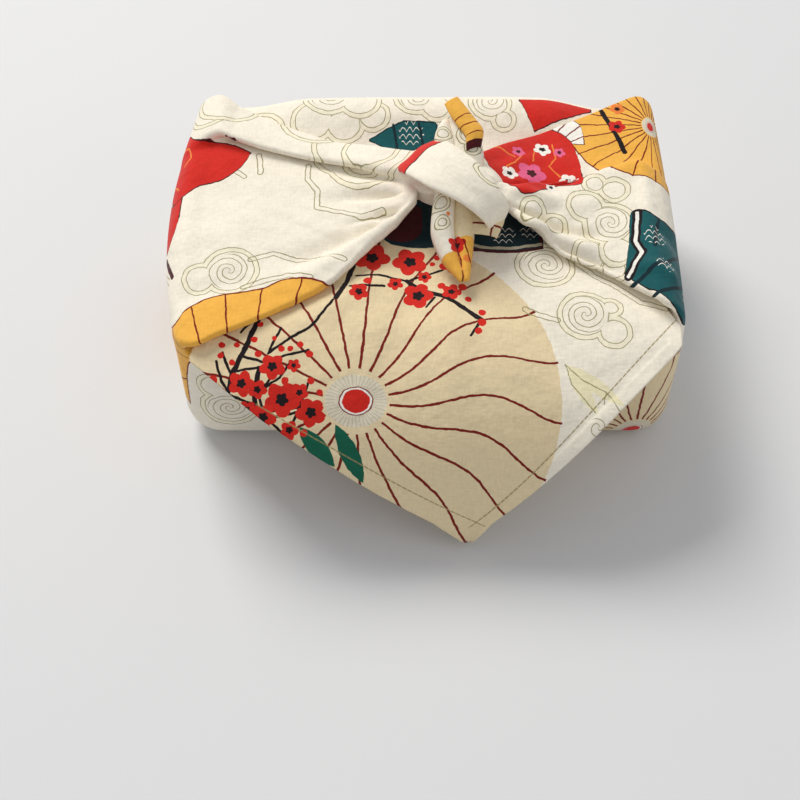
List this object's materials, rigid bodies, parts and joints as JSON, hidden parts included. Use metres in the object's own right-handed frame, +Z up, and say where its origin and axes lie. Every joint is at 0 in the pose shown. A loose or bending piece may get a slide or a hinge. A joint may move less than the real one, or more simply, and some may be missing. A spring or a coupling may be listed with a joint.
{
  "type": "folded furoshiki",
  "caption": "Square cotton wrapping cloth folded round a box shape and tied on top, with one corner hanging at the front.",
  "frame": {"origin": "middle of the bounding box, at the height of the flat bottom", "axes": "+X along the bundle's length, -Y towards the hanging corner, +Z up through the knot"},
  "size_m": [0.1914, 0.173, 0.0917],
  "materials": {
    "cotton_print": "matt plain-weave cotton, cream with a printed pattern"
  },
  "bodies": {
    "root": {"cloth": "cotton_print"}
  },
  "joints": []
}
